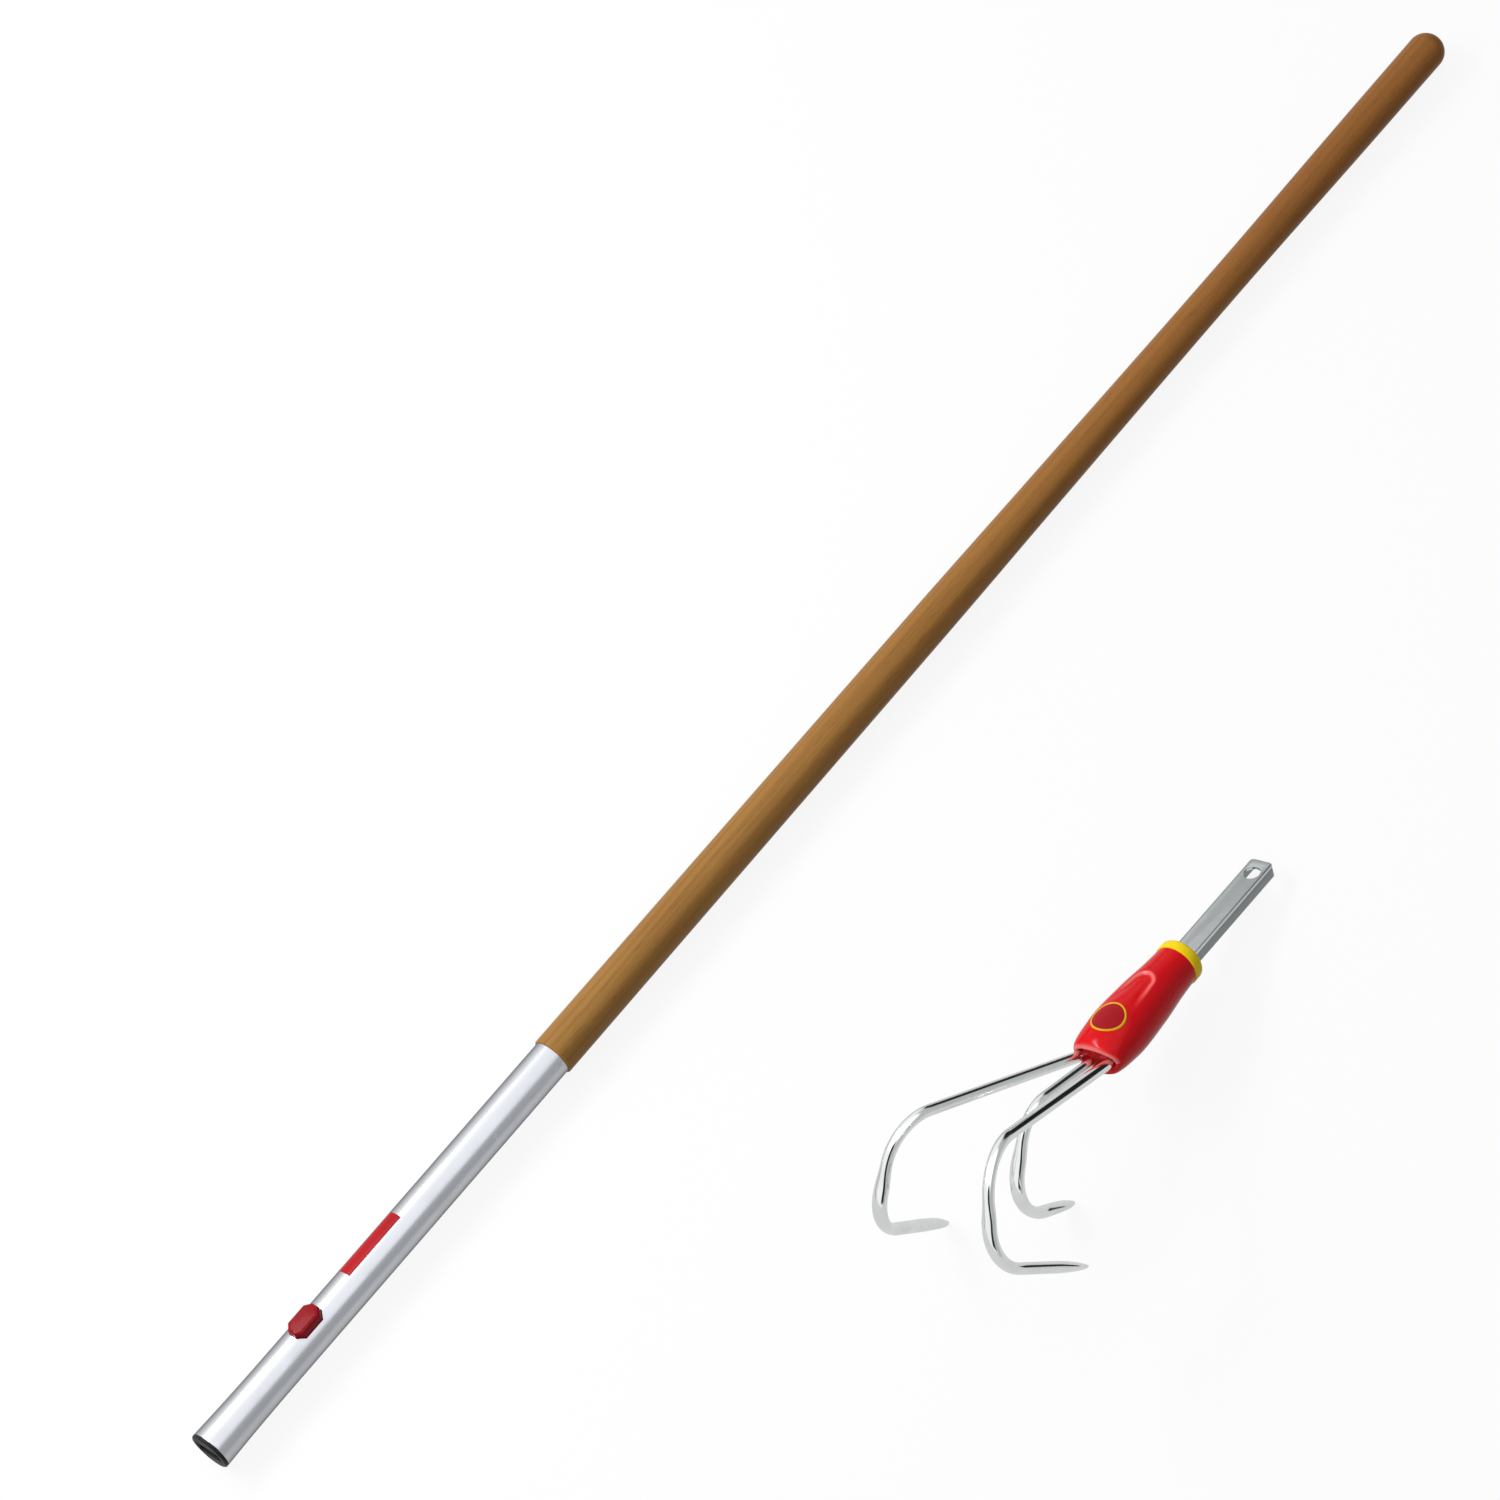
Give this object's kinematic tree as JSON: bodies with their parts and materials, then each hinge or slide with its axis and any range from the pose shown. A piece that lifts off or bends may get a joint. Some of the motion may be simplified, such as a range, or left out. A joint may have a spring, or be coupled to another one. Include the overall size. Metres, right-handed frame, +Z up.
{
  "type": "long-handled cultivator",
  "caption": "Long-handled cultivator with its head taken off: ash shaft with a snap-in metal socket and release button, beside a clawed head of bent pointed tines, sleeve and tang.",
  "frame": {"origin": "centre of the socket's mouth, on the handle's axis, where the tube ends", "axes": "+X along the handle to its domed end, +Z up from the floor that both pieces lie on"},
  "size_m": [1.4024, 0.4005, 0.1604],
  "materials": {
    "varnished_ash": "varnished",
    "satin_aluminium": "satin",
    "rivet_aluminium": "plain",
    "black_plastic": "fine texture",
    "carrier_plastic": "fine texture",
    "spring_steel": "tempered",
    "button_red": "gloss",
    "hook_plastic": "smooth",
    "galvanised_steel": "galvanised",
    "bright_rod": "bright plated",
    "weld_steel": "as welded",
    "sleeve_red": "gloss",
    "collar_yellow": "gloss",
    "pad_plastic": "gloss"
  },
  "bodies": {
    "handle": {"wooden_shaft": "varnished_ash", "ferrule_tube": "satin_aluminium", "ferrule_rivet": "rivet_aluminium", "mouth_guide": "black_plastic", "latch_carrier": "carrier_plastic", "latch_spring": "spring_steel"},
    "latch": {"release_button": "button_red", "latch_hook": "hook_plastic"},
    "head": {"tang": "galvanised_steel", "tine_left": "bright_rod", "tine_centre": "bright_rod", "tine_right": "bright_rod", "weld_beads": "weld_steel", "sleeve": "sleeve_red", "collar": "collar_yellow", "badge_pad": "pad_plastic"}
  },
  "joints": [
    {"name": "button_press", "type": "slide", "parent": "handle", "child": "latch", "axis": [0, -0.3584, -0.9336], "range_m": [0, 0.0025], "stiffness_N_per_m": 800, "springref_m": -0.006, "deforming": ["latch_spring"]},
    {"name": "head_lift", "type": "slide", "parent": "handle", "child": "head", "axis": [0, 0, 1], "range_m": [0, 0.25]}
  ]
}
